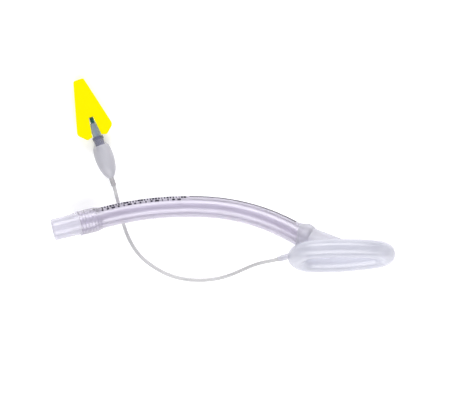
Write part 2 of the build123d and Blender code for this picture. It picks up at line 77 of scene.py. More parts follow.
# The detail of a plastic's grain and of its uneven colour, the span of the grain that its gloss follows,
# and how strongly its relief shows
GRAIN_DETAIL, CLOUD_DETAIL = 2.0, 3.0
GRAIN_LOW, GRAIN_HIGH = 0.3, 0.7
RELIEF_STRENGTH = 0.5

# The two kinds of node that the trees use most
MATH, VECTOR_MATH = "ShaderNodeMath", "ShaderNodeVectorMath"


def linear(code: str) -> tuple[float, float, float, float]:
    """Turns an sRGB hex colour into the linear colour that a shader takes.

    Args:
        code: Six hex digits after a hash sign.

    Returns:
        Red, green, blue and an alpha of one.
    """
    parts = [int(code[i : i + 2], 16) / 255 for i in (1, 3, 5)]
    return (*[c / 12.92 if c <= 0.04045 else ((c + 0.055) / 1.055) ** 2.4 for c in parts], 1.0)


def add_node(
    tree: NodeTree, kind: str, inputs: dict[str | int, object] | None = None, **settings: object
) -> bpy_prop_collection:
    """Adds a node with its settings and links.

    Args:
        tree: The node tree that gets the node.
        kind: The node's type.
        inputs: What each input gets, by its name or number: a value, a socket, or a list of sockets.
        settings: The node's own properties.

    Returns:
        The new node's outputs.
    """
    node = tree.nodes.new(kind)
    for name, value in settings.items():
        setattr(node, name, value)
    for key, value in (inputs or {}).items():
        for source in value if isinstance(value, list) else [value]:
            if isinstance(source, NodeSocket):
                tree.links.new(source, node.inputs[key])
            else:
                node.inputs[key].default_value = source
    return node.outputs


class Grain(Enum):
    """How the surface was made, as the stretch of its fine pattern in X, Y and Z."""

    MOULDED = (1.0, 1.0, 1.0)
    EXTRUDED = (0.08, 1.0, 1.0)
    BLOWN = (0.5, 1.0, 1.0)


@dataclass(frozen=True)
class Finish:
    """What every finish has: a name, and one material that is made on its first use.

    Attributes:
        name: The material's name.
    """

    name: str

    def shader(self, tree: NodeTree) -> NodeSocket:
        """The surface's shader, which each kind of finish makes its own way."""
        raise NotImplementedError(self.name)

    def material(self) -> Material:
        """Builds the material on its first use.

        Returns:
            The material.
        """
        found = bpy.data.materials.get(self.name)
        if found:
            return found
        result = bpy.data.materials.new(self.name)
        result.use_nodes = True
        result.node_tree.nodes.clear()
        add_node(result.node_tree, "ShaderNodeOutputMaterial", {"Surface": self.shader(result.node_tree)})
        return result


@dataclass(frozen=True)
class Plastic(Finish):
    """A plastic with a fine surface grain and a slightly uneven colour.

    Attributes:
        colour: Its sRGB colour.
        cloud: The sRGB colour of its slightly thicker or milkier places.
        roughness: The gloss of the polished places.
        matte: The gloss of the grain's dull places.
        clear: How much of the light goes through it, refracted.
        film: How much of what is behind a thin wall shows through it, unbent.
        glow: How much light comes through it from a light table under it.
        shadow: How much lamp light passes it.
        grain: How the surface was made.
        grain_mm: The size of the grain.
        cloud_mm: The size of the uneven places.
        relief_mm: The height of the grain.
        sheen_share: How strong its surface reflections are, 0.5 for plain plastic.
        skin: How much of a softer second gloss lies over the first.
        skin_roughness: That second gloss.
        ior: The refractive index.
    """

    colour: str
    cloud: str
    roughness: float
    matte: float
    clear: float = 0.0
    film: float = 0.0
    glow: float = 0.0
    shadow: float = 0.0
    grain: Grain = Grain.MOULDED
    grain_mm: float = 0.6
    cloud_mm: float = 9.0
    relief_mm: float = 0.01
    sheen_share: float = 0.5
    skin: float = 0.0
    skin_roughness: float = 0.4
    ior: float = 1.5

    def cover(self, tree: NodeTree, place: NodeSocket) -> float | NodeSocket:
        """How much the wall covers what is behind it, one number all over."""
        return 1 - self.film

    def height(self, tree: NodeTree, place: NodeSocket, grain: NodeSocket) -> NodeSocket:
        """The height of the surface in grain heights, just the grain itself."""
        return grain

    def shader(self, tree: NodeTree) -> NodeSocket:
        """Builds the plastic's shader.

        Args:
            tree: The material's tree.

        Returns:
            The shader.
        """
        place = add_node(tree, "ShaderNodeTexCoord")["Object"]
        fine = add_node(tree, "ShaderNodeMapping", {"Vector": place, "Scale": self.grain.value})[0]
        small = {"Vector": fine, "Scale": 1 / (self.grain_mm * MM), "Detail": GRAIN_DETAIL}
        grain = add_node(tree, "ShaderNodeTexNoise", small)[0]
        large = {"Vector": place, "Scale": 1 / (self.cloud_mm * MM), "Detail": CLOUD_DETAIL}
        cloud = add_node(tree, "ShaderNodeTexNoise", large)[0]
        tints = {0: cloud, 6: linear(self.colour), 7: linear(self.cloud)}
        colour = add_node(tree, "ShaderNodeMix", tints, data_type="RGBA")[2]
        span = {0: grain, 1: GRAIN_LOW, 2: GRAIN_HIGH, 3: self.roughness, 4: self.matte}
        gloss = add_node(tree, "ShaderNodeMapRange", span)[0]
        height = self.height(tree, place, grain)
        bump = {"Height": height, "Strength": RELIEF_STRENGTH, "Distance": self.relief_mm * MM}
        relief = add_node(tree, "ShaderNodeBump", bump)[0]
        shader = add_node(
            tree,
            "ShaderNodeBsdfPrincipled",
            {"Base Color": colour, "Roughness": gloss, "Normal": relief, "IOR": self.ior,
             "Alpha": self.cover(tree, place), "Transmission Weight": self.clear,
             "Specular IOR Level": self.sheen_share, "Coat Weight": self.skin,
             "Coat Roughness": self.skin_roughness, "Emission Color": linear(self.colour),
             "Emission Strength": self.glow},
        )[0]
        if self.shadow:
            ray = add_node(tree, "ShaderNodeLightPath")["Is Shadow Ray"]
            share = add_node(tree, MATH, {0: ray, 1: self.shadow}, operation="MULTIPLY")[0]
            passing = add_node(tree, "ShaderNodeBsdfTransparent")[0]
            shader = add_node(tree, "ShaderNodeMixShader", {0: share, 1: shader, 2: passing})[0]
        return shader


@dataclass(frozen=True)
class BandedPlastic(Plastic):
    """A wall that is polished clear towards one end and milky towards the other.

    Attributes:
        clear_from_mm: Where along the pilot's axis it turns clear.
        band_mm: The length over which it does.
        end_film: How much shows through it there.
    """

    clear_from_mm: float = 40.4
    band_mm: float = 1.0
    end_film: float = 0.96

    def cover(self, tree: NodeTree, place: NodeSocket) -> float | NodeSocket:
        """How much the wall covers what is behind it, by the station along the pilot's axis."""
        axis = PILOT_PLACE.to_3x3() @ Vector((1, 0, 0))
        first = PILOT_PLACE.translation.dot(axis) + self.clear_from_mm * MM
        station = add_node(tree, VECTOR_MATH, {0: place, 1: axis}, operation="DOT_PRODUCT")["Value"]
        band = {0: station, 1: first, 2: first + self.band_mm * MM, 3: 1 - self.film, 4: 1 - self.end_film}
        return add_node(tree, "ShaderNodeMapRange", band)[0]


@dataclass(frozen=True)
class StretchedPlastic(Plastic):
    """A tube wall that the barbs of the spigot inside it print through.

    Attributes:
        axis: The spigot's direction, from the tube outwards.
        end_mm: Where the stretched end stops along that direction.
        stretch_mm: How far the barbs reach from there.
        ease_mm: The length over which the first of them comes up.
        barb_mm: The distance from barb to barb.
        barb_height: Their height in grain heights.
        waver: How far the grain moves them, in radians of their wave.
    """

    axis: tuple[float, float, float] = (-0.96332, -0.24186, 0.11626)
    end_mm: float = 97.0
    stretch_mm: float = 15.5
    ease_mm: float = 3.0
    barb_mm: float = 2.3
    barb_height: float = 110.0
    waver: float = 2.0

    def height(self, tree: NodeTree, place: NodeSocket, grain: NodeSocket) -> NodeSocket:
        """The grain with the barbs' rings added over the spigot.

        Args:
            tree: The material's tree.
            place: The place on the piece.
            grain: The fine grain.

        Returns:
            The height.
        """
        station = add_node(tree, VECTOR_MATH, {0: place, 1: self.axis}, operation="DOT_PRODUCT")["Value"]
        start = (self.end_mm - self.stretch_mm) * MM
        climb = {0: station, 1: start, 2: start + self.ease_mm * MM, 3: 0.0, 4: self.barb_height}
        over = add_node(tree, "ShaderNodeMapRange", climb)[0]
        turns = {0: station, 1: 2 * pi / (self.barb_mm * MM)}
        phase = add_node(tree, MATH, turns, operation="MULTIPLY")[0]
        uneven = add_node(tree, MATH, {0: grain, 1: self.waver, 2: phase}, operation="MULTIPLY_ADD")[0]
        wave = add_node(tree, MATH, {0: uneven}, operation="SINE")[0]
        return add_node(tree, MATH, {0: wave, 1: over, 2: grain}, operation="MULTIPLY_ADD")[0]


@dataclass(frozen=True)
class DrawnMetal(Finish):
    """A drawn wire with fine dull lines.

    Attributes:
        colour: Its sRGB colour.
        roughness: The gloss between the lines.
        dull: How much rougher the lines are.
        line_mm: The size of the lines.
    """

    colour: str
    roughness: float
    dull: float = 0.15
    line_mm: float = 0.1

    def shader(self, tree: NodeTree) -> NodeSocket:
        """Builds the metal's shader.

        Args:
            tree: The material's tree.

        Returns:
            The shader.
        """
        place = add_node(tree, "ShaderNodeTexCoord")["Object"]
        lines = add_node(tree, "ShaderNodeTexNoise", {"Vector": place, "Scale": 1 / (self.line_mm * MM)})[0]
        span = {0: lines, 3: self.roughness, 4: self.roughness + self.dull}
        gloss = add_node(tree, "ShaderNodeMapRange", span)[0]
        look = {"Base Color": linear(self.colour), "Metallic": 1.0, "Roughness": gloss}
        return add_node(tree, "ShaderNodeBsdfPrincipled", look)[0]


# Extruded clear PVC: glossy, faintly lilac, with fine draw lines along the tube
CLEAR_PVC = StretchedPlastic(
    "extruded_clear_pvc", "#D5D1DE", "#C9C3D2", 0.17, 0.26, clear=0.7, shadow=0.8, grain=Grain.EXTRUDED,
    grain_mm=1.2, relief_mm=0.002, sheen_share=1.0, skin=0.9, ior=1.54,
)
# Moulded natural polypropylene: milky white, half glossy from a polished mould
NATURAL_PP = Plastic(
    "moulded_natural_polypropylene", "#E9E7F1", "#DDDBE6", 0.16, 0.22, clear=0.45, shadow=0.6, grain_mm=1.2,
    relief_mm=0.004, sheen_share=0.7, ior=1.49,
)
# Moulded soft PVC from a blasted mould: frosted, with a soft sheen
FROSTED_PVC = Plastic(
    "moulded_frosted_pvc", "#D9D8E1", "#CCCBD5", 0.28, 0.42, clear=0.6, film=0.24, shadow=0.65, grain_mm=0.5,
    ior=1.53,
)
# Blown soft PVC: a thin frosted wall that what lies behind shows through
BLOWN_PVC = Plastic(
    "blown_frosted_pvc", "#D3D3DF", "#C5C6D3", 0.17, 0.27, film=0.27, shadow=0.75, grain=Grain.BLOWN,
    grain_mm=1.4, relief_mm=0.004, sheen_share=0.9, skin=0.4, ior=1.53,
)
# Blown balloon film: thin, smoky and smooth
BALLOON_FILM = Plastic(
    "blown_balloon_film", "#C9C8D1", "#BAB9C1", 0.3, 0.4, film=0.2, shadow=0.5, grain=Grain.BLOWN, ior=1.53
)
# The balloon's neck sleeve, clearer where it is shrunk onto the valve
SLEEVE_PVC = Plastic(
    "shrunk_sleeve_pvc", "#C9C8D6", "#B9B8C6", 0.18, 0.3, film=0.74, clear=0.2, shadow=0.6, grain_mm=0.5,
    ior=1.53,
)
# The balloon's tail, drawn down and thick over the line: grey and barely clear
TAIL_PVC = Plastic(
    "drawn_tail_pvc", "#BFBCC0", "#B0ADB1", 0.2, 0.32, film=0.15, clear=0.2, shadow=0.5, grain_mm=0.5,
    ior=1.53,
)
# Extruded soft PVC line: whitish, half clear, with a glossy skin
LINE_PVC = Plastic(
    "extruded_line_pvc", "#D3D2D4", "#C5C4C7", 0.16, 0.28, clear=0.25, shadow=0.6, grain_mm=0.4,
    sheen_share=0.8, ior=1.53,
)
# Moulded polycarbonate: glossy, milky blue-grey at the housing and polished clear at the mouth
MILKY_PC = BandedPlastic(
    "moulded_polycarbonate_socket", "#B9C5D6", "#9FACC0", 0.08, 0.18, film=0.15, clear=0.5, shadow=0.6,
    cloud_mm=3.0, ior=1.58,
)
# The same polycarbonate in the lower housing, with painted shade: its colour is darker all over, for the dark
# look where it is thick
SHADED_CLEAR_PC = Plastic(
    "moulded_clear_polycarbonate", "#8C8DA6", "#686A86", 0.06, 0.14, film=0.1, clear=0.4, shadow=0.6,
    cloud_mm=3.0, ior=1.58,
)
# Moulded teal ABS: deep colour with a polished skin
TEAL_ABS = Plastic(
    "moulded_teal_abs", "#0C6474", "#075463", 0.25, 0.36, grain_mm=0.3, cloud_mm=2.0, sheen_share=0.3,
    ior=1.53,
)
# Moulded silicone: milky and dull
SILICONE = Plastic("moulded_silicone", "#D5D6DA", "#C6C8CE", 0.45, 0.6, grain_mm=0.3, cloud_mm=1.5, ior=1.41)
# Moulded yellow polyethylene: an even bright colour with a waxy skin
YELLOW_PE = Plastic(
    "moulded_yellow_polyethylene", "#F9ED00", "#F4E800", 0.5, 0.65, grain_mm=0.7, cloud_mm=6.0,
    sheen_share=0.02, ior=1.51,
)
# Pad-printed black ink: thin, dense and dull
BLACK_INK = Plastic(
    "pad_printed_ink", "#2B2B33", "#3B3B44", 0.85, 0.95, grain_mm=0.3, cloud_mm=2.0, sheen_share=0.0, ior=1.5
)
# Drawn spring steel: bright wire with fine lines left by the die
SPRING_STEEL = DrawnMetal("drawn_spring_steel", "#B9BBBE", 0.22)
# Matt white card on a light table under the object
WHITE_CARD = Plastic(
    "matt_white_card", "#F6F6F7", "#F4F4F5", 0.8, 0.95, glow=0.28, grain_mm=3.0, cloud_mm=60.0,
    relief_mm=0.005,
)

# What each CAD piece that stays in view is made of
FINISHES = {
    "connector_15mm": NATURAL_PP,
    "airway_tube": CLEAR_PVC,
    "mask_backplate": FROSTED_PVC,
    "cuff_inflation_port": FROSTED_PVC,
    "valve_body": SHADED_CLEAR_PC,
    "valve_luer_socket": MILKY_PC,
    "valve_plunger": TEAL_ABS,
    "valve_seal": SILICONE,
    "keep_open_tag": YELLOW_PE,
}


def in_scene(name: str, data: bpy.types.ID) -> Object:
    """Puts a new object in the scene.

    Args:
        name: Its name.
        data: Its mesh, curve, lamp or camera.

    Returns:
        The object.
    """
    made = bpy.data.objects.new(name, data)
    bpy.context.scene.collection.objects.link(made)
    return made


def as_piece(name: str, mesh: Mesh, finish: Finish) -> Object:
    """Puts a finished mesh in the scene with its material, shaded as one curved surface.

    Args:
        name: The piece's name.
        mesh: Its mesh, in place.
        finish: What it is made of.

    Returns:
        The piece.
    """
    piece = in_scene(name, mesh)
    mesh.materials.clear()
    mesh.materials.append(finish.material())
    mesh.polygons.foreach_set("use_smooth", [True] * len(mesh.polygons))
    return piece


def dress(node: Object, finish: Finish) -> None:
    """Gives a CAD node its finish.

    Args:
        node: The node.
        finish: What it is made of.
    """
    for slot in node.material_slots:
        slot.material = finish.material()
    LOG.info("%s: %s", node.name, finish.name)


def rings_mesh(name: str, rings: list[list[Vector]]) -> Mesh:
    """Skins rings of equal count into a tube with its ends closed and its faces turned outwards.

    Args:
        name: The mesh's name.
        rings: The rings in order.

    Returns:
        The mesh.
    """
    build = bmesh.new()
    rows = [[build.verts.new(p) for p in ring] for ring in rings]
    for first, second in zip(rows, rows[1:]):
        for i in range(len(first)):
            j = (i + 1) % len(first)
            build.faces.new((first[i], first[j], second[j], second[i]))
    build.faces.new(rows[0][::-1])
    build.faces.new(rows[-1])
    bmesh.ops.recalc_face_normals(build, faces=build.faces)
    mesh = bpy.data.meshes.new(name)
    build.to_mesh(mesh)
    build.free()
    return mesh


def poly_path(name: str, places: list[Vector], closed: bool = False) -> Object:
    """Puts a path of short straight runs in the scene.

    Args:
        name: The path's name.
        places: Its points.
        closed: Whether the last point joins the first.

    Returns:
        The path.
    """
    curve = bpy.data.curves.new(name, "CURVE")
    curve.dimensions = "3D"
    spline = curve.splines.new("POLY")
    spline.points.add(len(places) - 1)
    for point, place in zip(spline.points, places):
        point.co = (*place, 1.0)
    spline.use_cyclic_u = closed
    return in_scene(name, curve)


class Growth:
    """A Geometry Nodes tree that grows a piece from a path.

    Attributes:
        tree: The tree.
        given: Its inputs, as sockets to link.
    """

    def __init__(
        self, name: str, numbers: tuple[str, ...], vectors: tuple[str, ...] = (), counts: tuple[str, ...] = ()
    ) -> None:
        """Starts the tree with the inputs Path and Material and those that are named.

        Args:
            name: The tree's name.
            numbers: Its inputs that are lengths, angles or shares.
            vectors: Its inputs that are places or directions.
            counts: Its inputs that are whole numbers.
        """
        self.tree = bpy.data.node_groups.new(name, "GeometryNodeTree")
        self.tree.is_modifier = True
        kinds = ("Geometry", "Float", "Vector", "Int", "Material")
        for kind, labels in zip(kinds, (("Path",), numbers, vectors, counts, ("Material",))):
            for label in labels:
                self.tree.interface.new_socket(label, in_out="INPUT", socket_type="NodeSocket" + kind)
        self.tree.interface.new_socket("Piece", in_out="OUTPUT", socket_type="NodeSocketGeometry")
        self.given = self.add("NodeGroupInput")

    def add(self, kind: str, *inputs: dict[str | int, object], **settings: object) -> bpy_prop_collection:
        """Adds a node to this tree, as add_node does."""
        return add_node(self.tree, kind, *inputs, **settings)

    def end(self, shape: NodeSocket) -> None:
        """Ends the tree with its shape made real and given its material.

        Args:
            shape: The shape.
        """
        real = self.add("GeometryNodeRealizeInstances", {0: shape})[0]
        made = self.add("GeometryNodeSetMaterial", {"Geometry": real, "Material": self.given["Material"]})[0]
        self.add("NodeGroupOutput", {"Piece": made})

    def grow(self, path: Object, values: dict[str, object]) -> Mesh:
        """Runs the tree and keeps its result as a plain mesh, welded and with its faces turned outwards.

        Args:
            path: The object that the tree starts from, which is removed.
            values: The tree's inputs by name.

        Returns:
            The mesh.
        """
        modifier = path.modifiers.new("growth", "NODES")
        modifier.node_group = self.tree
        for item in self.tree.interface.items_tree:
            if item.in_out == "INPUT" and item.name in values:
                modifier[item.identifier] = values[item.name]
        seen = path.evaluated_get(bpy.context.evaluated_depsgraph_get())
        mesh = bpy.data.meshes.new_from_object(seen)
        bpy.data.objects.remove(path)
        build = bmesh.new()
        build.from_mesh(mesh)
        bmesh.ops.remove_doubles(build, verts=build.verts, dist=WELD)
        bmesh.ops.recalc_face_normals(build, faces=build.faces)
        build.to_mesh(mesh)
        build.free()
        return mesh


@dataclass
class Stage:
    """The floor, the soft light and the camera above, in metres and degrees, its sensor in millimetres."""

    frame_width: float = 319.15 * MM
    centre: tuple[float, float] = (1.6 * MM, 24.2 * MM)
    mean_height: float = 10 * MM
    distance: float = 2.6
    sensor: float = 36.0
    floor_size: float = 6.0
    box_length: float = 1.3
    far_width: float = 0.55
    near_width: float = 0.72
    box_distance: float = 1.0
    far_tilt: float = 56.0
    near_tilt: float = 43.0
    far_radiance: float = 4.4
    near_radiance: float = 3.3
    room: float = 0.15

    def build(self) -> None:
        """Builds the floor, the room light, the two softboxes and the camera."""
        self.floor()
        self.world()
        self.softbox("softbox_far", self.far_tilt, self.far_width, self.far_radiance)
        self.softbox("softbox_near", -self.near_tilt, self.near_width, self.near_radiance)
        self.camera()

    def floor(self) -> None:
        """Lays the pale floor just under the object."""
        build = bmesh.new()
        bmesh.ops.create_grid(build, x_segments=2, y_segments=2, size=self.floor_size / 2)
        mesh = bpy.data.meshes.new("floor")
        build.to_mesh(mesh)
        build.free()
        as_piece("floor", mesh, WHITE_CARD)

    def world(self) -> None:
        """Fills the room with an even white light."""
        world = bpy.data.worlds.new("room")
        world.use_nodes = True
        world.node_tree.nodes.clear()
        plain = {"Color": linear("#FFFFFF"), "Strength": self.room}
        light = add_node(world.node_tree, "ShaderNodeBackground", plain)[0]
        add_node(world.node_tree, "ShaderNodeOutputWorld", {"Surface": light})
        bpy.context.scene.world = world

    def softbox(self, name: str, tilt: float, width: float, radiance: float) -> None:
        """Hangs a long softbox over the object, parallel to the tube.

        Args:
            name: The lamp's name.
            tilt: Its angle from overhead in degrees, towards the top of the picture.
            width: Its narrow side.
            radiance: How bright its face is.
        """
        lamp = bpy.data.lights.new(name, "AREA")
        lamp.shape = "RECTANGLE"
        lamp.size, lamp.size_y = self.box_length, width
        lamp.energy = radiance * pi * self.box_length * width
        turn = Matrix.Rotation(radians(-tilt), 4, "X")
        start = Matrix.Translation((*self.centre, self.mean_height))
        in_scene(name, lamp).matrix_world = start @ turn @ Matrix.Translation((0, 0, self.box_distance))

    def camera(self) -> None:
        """Sets the camera straight above, with the photograph's frame."""
        camera = bpy.data.cameras.new("camera")
        camera.sensor_width = self.sensor
        camera.lens = self.sensor * (self.distance - self.mean_height) / self.frame_width
        holder = in_scene("camera", camera)
        holder.location = (*self.centre, self.distance)
        bpy.context.scene.camera = holder
        bpy.context.scene.view_settings.view_transform = "Standard"


@dataclass
class InflationLine:
    """The thin line from the cuff's port to the balloon's tail."""

    diameter: float = 2.4 * MM
    length: float = 173.4 * MM
    lying_height_mm: float = 1.25

    def route(self) -> list[tuple[float, float, float]]:
        """The points of its route in millimetres, from the port."""
        low = self.lying_height_mm
        return [
            (42.826, -16.573, 20.963), (36.17, -18.37, 21.87),
            (26.6, -20.2, 18.6), (19.9, -22.6, 13.6),
            (12.6, -26.0, 8.0), (5.2, -29.3, 3.6),
            (-2.6, -31.6, 1.65), (-10.8, -32.7, low),
            (-19.3, -33.0, low), (-27.8, -32.2, low),
            (-36.2, -30.0, low), (-44.0, -26.6, low),
            (-51.0, -22.2, low), (-57.1, -17.4, low),
            (-61.9, -11.9, low), (-65.7, -5.7, low),
            (-68.7, 0.9, low), (-71.0, 8.2, low),
            (-72.7, 14.8, low), (-73.7, 19.9, 2.6),
            (-74.8, 24.3, 5.7), (-75.8, 28.5, 8.1),
            (-76.87, 33.31, 9.40), (-78.46, 38.02, 8.86),
        ]

    def build(self) -> Object:
        """Builds the line as one smooth spline.

        Returns:
            The line.
        """
        curve = bpy.data.curves.new("inflation_line_soft", "CURVE")
        curve.dimensions = "3D"
        curve.bevel_depth = self.diameter / 2
        curve.bevel_resolution = 6
        curve.resolution_u = 16
        curve.use_fill_caps = True
        spline = curve.splines.new("NURBS")
        points = self.route()
        spline.points.add(len(points) - 1)
        for point, place in zip(spline.points, points):
            point.co = (*(c * MM for c in place), 1.0)
        spline.order_u = 3
        spline.use_endpoint_u = True
        curve.materials.append(LINE_PVC.material())
        piece = in_scene("inflation_line_soft", curve)
        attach(piece, BODY)
        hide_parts("inflation_line")
        return piece


@dataclass
class Cuff:
    """The inflated ring in millimetres: a round section along an egg of four arcs, with a seam outside."""

    length: float = 76.0
    radius: float = 6.48
    near_radius: float = 13.5
    far_radius: float = 9.5
    side_radius: float = 100.0
    seam_height: float = 0.22
    seam_width: float = 0.5
    pucker: float = 0.05
    folds: float = 34.0
    fold_twist: float = 3.0
    steps: int = 240
    around: int = 64

    def arcs(self) -> list[tuple[float, float, float, float, float]]:
        """The four arcs as centre x, centre side, radius, first and last angle."""
        half = self.length / 2 - self.radius
        near, far = self.near_radius - half, half - self.far_radius
        spread = 2 * self.side_radius - self.near_radius - self.far_radius
        side_x = (near + far) / 2 + (self.far_radius - self.near_radius) * spread / (2 * (far - near))
        side_y = sqrt((self.side_radius - self.near_radius) ** 2 - (side_x - near) ** 2)
        near_turn = atan2(side_y, near - side_x)
        far_turn = atan2(side_y, far - side_x)
        return [
            (far, 0.0, self.far_radius, -far_turn, far_turn),
            (side_x, -side_y, self.side_radius, far_turn, near_turn),
            (near, 0.0, self.near_radius, near_turn, 2 * pi - near_turn),
            (side_x, side_y, self.side_radius, -near_turn, -far_turn),
        ]

    def centreline(self) -> Object:
        """Builds the ring's closed centreline.

        Returns:
            The centreline as a curve.
        """
        arcs = self.arcs()
        total = sum(r * (b - a) for _, _, r, a, b in arcs)
        places = []
        for cx, cy, r, a, b in arcs:
            share = round(self.steps * r * (b - a) / total)
            for i in range(share):
                turn = a + (b - a) * i / share
                places.append(MASK_PLACE @ (Vector((cx + r * cos(turn), 0, cy + r * sin(turn))) * MM))
        return poly_path("cuff_centreline", places, closed=True)

    def growth(self) -> Growth:
        """Lays out the nodes that blow a ring up along a closed path.

        Returns:
            The growth.
        """
        growth = Growth(
            "ring_along_path",
            ("Radius", "Seam Height", "Seam Width", "Pucker", "Folds", "Fold Twist"),
            ("Centre", "Axis", "Forward"),
            ("Around",),
        )
        add, given = growth.add, growth.given
        section = {"Resolution": given["Around"], "Radius": given["Radius"]}
        profile = add("GeometryNodeCurvePrimitiveCircle", section)[0]
        ring = add("GeometryNodeCurveToMesh", {"Curve": given["Path"], "Profile Curve": profile})[0]
        normal = add("GeometryNodeInputNormal")[0]
        place = add("GeometryNodeInputPosition")[0]

        offset = add(VECTOR_MATH, {0: place, 1: given["Centre"]}, operation="SUBTRACT")[0]
        sideways = add(VECTOR_MATH, {0: given["Axis"], 1: given["Forward"]}, operation="CROSS_PRODUCT")[0]
        lean = add(VECTOR_MATH, {0: normal, 1: given["Axis"]}, operation="DOT_PRODUCT")["Value"]
        away = add(VECTOR_MATH, {0: offset, 1: normal}, operation="DOT_PRODUCT")["Value"]
        outside = add(MATH, {0: away, 1: 0.0}, operation="GREATER_THAN")[0]
        inside = add(MATH, {0: 1.0, 1: outside}, operation="SUBTRACT")[0]

        # The seam: a narrow bead round the outside, bell-shaped across its width
        rise = add(MATH, {0: lean, 1: given["Radius"]}, operation="MULTIPLY")[0]
        half_width = add(MATH, {0: given["Seam Width"], 1: 0.5}, operation="MULTIPLY")[0]
        drop = add(MATH, {0: rise, 1: half_width}, operation="DIVIDE")[0]
        square = add(MATH, {0: drop, 1: drop}, operation="MULTIPLY")[0]
        fall = add(MATH, {0: square, 1: -1.0}, operation="MULTIPLY")[0]
        bell = add(MATH, {0: fall}, operation="EXPONENT")[0]
        bead = add(MATH, {0: bell, 1: outside}, operation="MULTIPLY")[0]
        seam = add(MATH, {0: bead, 1: given["Seam Height"]}, operation="MULTIPLY")[0]

        # The puckers: shallow folds round the inside, where the wall is blown from a longer way round
        along = add(VECTOR_MATH, {0: offset, 1: given["Forward"]}, operation="DOT_PRODUCT")["Value"]
        across = add(VECTOR_MATH, {0: offset, 1: sideways}, operation="DOT_PRODUCT")["Value"]
        bearing = add(MATH, {0: across, 1: along}, operation="ARCTAN2")[0]
        twist = add(MATH, {0: lean, 1: given["Fold Twist"]}, operation="MULTIPLY")[0]
        phase = add(MATH, {0: bearing, 1: given["Folds"], 2: twist}, operation="MULTIPLY_ADD")[0]
        wave = add(MATH, {0: phase}, operation="SINE")[0]
        fold = add(MATH, {0: wave, 1: inside}, operation="MULTIPLY")[0]
        height = add(MATH, {0: fold, 1: given["Pucker"], 2: seam}, operation="MULTIPLY_ADD")[0]
        push = add(VECTOR_MATH, {0: normal, "Scale": height}, operation="SCALE")[0]
        growth.end(add("GeometryNodeSetPosition", {"Geometry": ring, "Offset": push})[0])
        return growth

    def build(self) -> Object:
        """Builds the ring and puts it in the CAD cuff's place.

        Returns:
            The ring.
        """
        turn = MASK_PLACE.to_3x3()
        values = {
            "Radius": self.radius * MM,
            "Seam Height": self.seam_height * MM,
            "Seam Width": self.seam_width * MM,
            "Pucker": self.pucker * MM,
            "Folds": self.folds,
            "Fold Twist": self.fold_twist,
            "Centre": MASK_PLACE.translation,
            "Axis": turn @ Vector((0, 1, 0)),
            "Forward": turn @ Vector((1, 0, 0)),
            "Around": self.around,
            "Material": BLOWN_PVC.material(),
        }
        mesh = self.growth().grow(self.centreline(), values)
        piece = as_piece("cuff_blown", mesh, BLOWN_PVC)
        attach(piece, BODY)
        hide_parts("cuff")
        return piece


@dataclass
class PilotBalloon:
    """The blown balloon with its tail sleeve and neck sleeve, in millimetres."""

    length: float = 26.3
    belly: float = 15.8
    radius: float = 6.73
    tail_length: float = 6.0
    tail_radius: float = 1.75
    tail_pull: tuple[float, float] = (2.2, 2.6)
    tail_side_pull: float = 8.0
    neck_length: float = 2.7
    neck_radius: float = 3.9
    neck_pull: tuple[float, float] = (1.6, 2.0)
    neck_side_pull: float = 5.6
    shoulder: float = 2.4
    lip: float = 0.15
    pleats: int = 11
    pleat_depth: float = 0.1
    pleat_reach: float = 5.0
    pleat_twist: float = 0.12
    around: int = 66
    steps: int = 40

    def bow(self, points: list[tuple[float, float]]) -> list[tuple[float, float]]:
        """Places along one half of the outline.

        Args:
            points: The half's two ends with their two pulls between them.

        Returns:
            Stations and radii.
        """
        places = []
        for i in range(self.steps + 1):
            t = i / self.steps
            shares = ((1 - t) ** 3, 3 * (1 - t) ** 2 * t, 3 * (1 - t) * t * t, t**3)
            places.append(tuple(sum(s * p[k] for s, p in zip(shares, points)) for k in (0, 1)))
        return places

    def outline(self) -> list[tuple[float, float]]:
        """The stations and radii from the tail's end to the neck's end."""
        tail, neck, belly = self.tail_radius, self.neck_radius, (self.belly, self.radius)
        near = (self.tail_pull[0], tail + self.tail_pull[1])
        far = (self.length - self.neck_pull[0], neck + self.neck_pull[1])
        start, stop = -self.tail_length, self.length + self.neck_length
        rise = self.bow([(0, tail), near, (self.belly - self.tail_side_pull, self.radius), belly])
        fall = self.bow([belly, (self.belly + self.neck_side_pull, self.radius), far, (self.length, neck)])
        ends = [(start, tail - self.lip), (start + self.lip, tail), (start / 2, tail)]
        return [*ends, *rise, *fall[1:], (stop - self.lip, neck), (stop, neck - self.lip)]

    def rings(self) -> list[list[Vector]]:
        """The rings from the tail's end to the neck's end, in place."""
        result = []
        for station, wall in self.outline():
            inside = min(station, self.length - station) / self.pleat_reach
            depth = self.pleat_depth * inside * exp(1 - inside) if inside > 0 else 0
            ring = []
            for k in range(self.around):
                angle = 2 * pi * k / self.around
                wave = cos(self.pleats * angle + self.pleat_twist * station)
                here = wall - depth * (0.5 + 0.5 * wave)
                ring.append(PILOT_PLACE @ (Vector((station, here * cos(angle), here * sin(angle))) * MM))
            result.append(ring)
        return result

    def build(self) -> Object:
        """Builds the balloon and puts it in the CAD balloon's place.

        Returns:
            The balloon.
        """
        mesh = rings_mesh("pilot_balloon_blown", self.rings())
        piece = as_piece("pilot_balloon_blown", mesh, BALLOON_FILM)
        mesh.materials.append(SLEEVE_PVC.material())
        mesh.materials.append(TAIL_PVC.material())
        back = PILOT_PLACE.inverted()
        for face in mesh.polygons:
            station = (back @ face.center).x / MM
            face.material_index = 2 if station < 0 else int(station > self.length - self.shoulder)
        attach(piece, BODY)
        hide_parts("pilot_balloon")
        return piece


